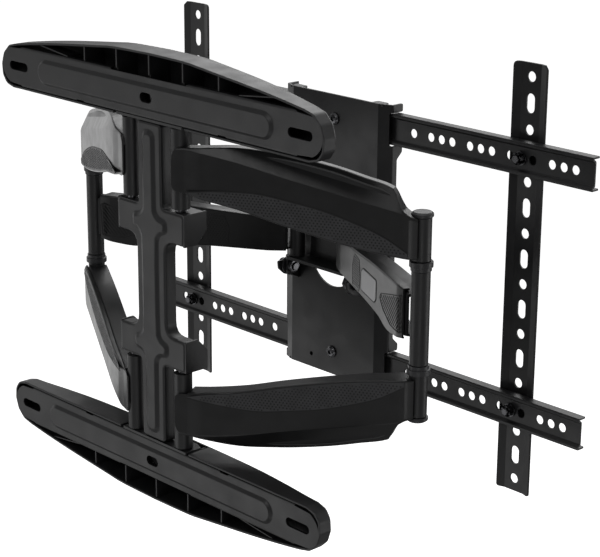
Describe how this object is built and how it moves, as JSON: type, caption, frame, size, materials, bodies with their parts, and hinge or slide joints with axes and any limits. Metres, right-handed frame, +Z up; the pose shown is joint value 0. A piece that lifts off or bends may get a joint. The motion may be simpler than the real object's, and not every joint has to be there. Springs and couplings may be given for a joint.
{
  "type": "full motion tv wall mount",
  "caption": "Dual-arm TV wall bracket: bowed wall plate, folding linked arms, tilting head and an open frame of rails and slotted strips.",
  "frame": {"origin": "on the wall face, at the middle of the wall column", "axes": "+Z up, +Y out of the wall towards the television, +X along the rails, to the right when looking at the wall side"},
  "size_m": [0.644, 0.2688, 0.445],
  "materials": {
    "black_steel": "satin powder coat",
    "bar_cover": "satin moulded",
    "arm_cover": "satin moulded with a dotted zone",
    "black_trim": "satin",
    "zinc": "zinc plated"
  },
  "bodies": {
    "wall_plate": {"wall_column": "black_steel", "upper_wall_bar": "black_steel", "lower_wall_bar": "black_steel", "upper_bar_cover": "bar_cover", "lower_bar_cover": "bar_cover", "upper_wall_pin_right": "zinc", "lower_wall_pin_right": "zinc", "upper_wall_pin_left": "zinc", "lower_wall_pin_left": "zinc"},
    "right_wall_arms": {"upper_wall_arm_right": "black_steel", "lower_wall_arm_right": "black_steel", "upper_arm_cover_right": "arm_cover", "lower_arm_cover_right": "arm_cover", "elbow_pin_right": "zinc", "upper_elbow_bush_right": "black_trim", "lower_elbow_bush_right": "black_trim", "upper_elbow_cap_right": "black_trim", "lower_elbow_cap_right": "black_trim"},
    "right_tv_arm": {"tv_arm_right": "black_steel", "tv_arm_cover_right": "arm_cover"},
    "left_wall_arms": {"upper_wall_arm_left": "black_steel", "lower_wall_arm_left": "black_steel", "upper_arm_cover_left": "arm_cover", "lower_arm_cover_left": "arm_cover", "elbow_pin_left": "zinc", "upper_elbow_bush_left": "black_trim", "lower_elbow_bush_left": "black_trim", "upper_elbow_cap_left": "black_trim", "lower_elbow_cap_left": "black_trim"},
    "left_tv_arm": {"tv_arm_left": "black_steel", "tv_arm_cover_left": "arm_cover"},
    "head": {"head_bracket": "black_steel", "head_pin_right": "zinc", "tilt_pad_right": "black_trim", "tilt_bolt_right": "zinc", "tilt_nut_right": "zinc", "head_pin_left": "zinc", "tilt_pad_left": "black_trim", "tilt_bolt_left": "zinc", "tilt_nut_left": "zinc"},
    "tv_frame": {"centre_plate": "black_steel", "top_rail": "black_steel", "bottom_rail": "black_steel", "strip_right": "black_steel", "strip_left": "black_steel", "top_plate_screw": "zinc", "bottom_plate_screw": "zinc", "top_rail_bolt_right": "zinc", "top_rail_nut_right": "zinc", "bottom_rail_bolt_right": "zinc", "bottom_rail_nut_right": "zinc", "top_rail_bolt_left": "zinc", "top_rail_nut_left": "zinc", "bottom_rail_bolt_left": "zinc", "bottom_rail_nut_left": "zinc", "tilt_lug_right": "black_steel", "tilt_lug_left": "black_steel"}
  },
  "joints": [
    {"name": "right_wall", "type": "hinge", "parent": "wall_plate", "child": "right_wall_arms", "pos_m": [0.0355, 0.011, 0], "axis": [0, 0, 1], "range_deg": [-18, 47]},
    {"name": "right_elbow", "type": "hinge", "parent": "right_wall_arms", "child": "right_tv_arm", "pos_m": [0.23858, 0.11898, 0], "axis": [0, 0, 1], "range_deg": [-94, 36]},
    {"name": "right_head", "type": "hinge", "parent": "right_tv_arm", "child": "head", "pos_m": [0.0355, 0.22696, 0], "axis": [0, 0, 1], "range_deg": [-18, 47]},
    {"name": "left_wall", "type": "hinge", "parent": "wall_plate", "child": "left_wall_arms", "pos_m": [-0.0355, 0.011, 0], "axis": [0, 0, 1], "range_deg": [-47, 18]},
    {"name": "left_elbow", "type": "hinge", "parent": "left_wall_arms", "child": "left_tv_arm", "pos_m": [-0.23858, 0.11898, 0], "axis": [0, 0, 1], "range_deg": [-36, 94]},
    {"name": "tilt", "type": "hinge", "parent": "head", "child": "tv_frame", "pos_m": [0, 0.226, -0.036], "axis": [1, 0, 0], "range_deg": [-15, 5]}
  ],
  "couplings": [
    {"joint": "right_elbow", "follows": "right_wall", "ratio": -2},
    {"joint": "right_head", "follows": "right_wall", "ratio": 1},
    {"joint": "left_wall", "follows": "right_wall", "ratio": -1},
    {"joint": "left_elbow", "follows": "right_wall", "ratio": 2}
  ]
}
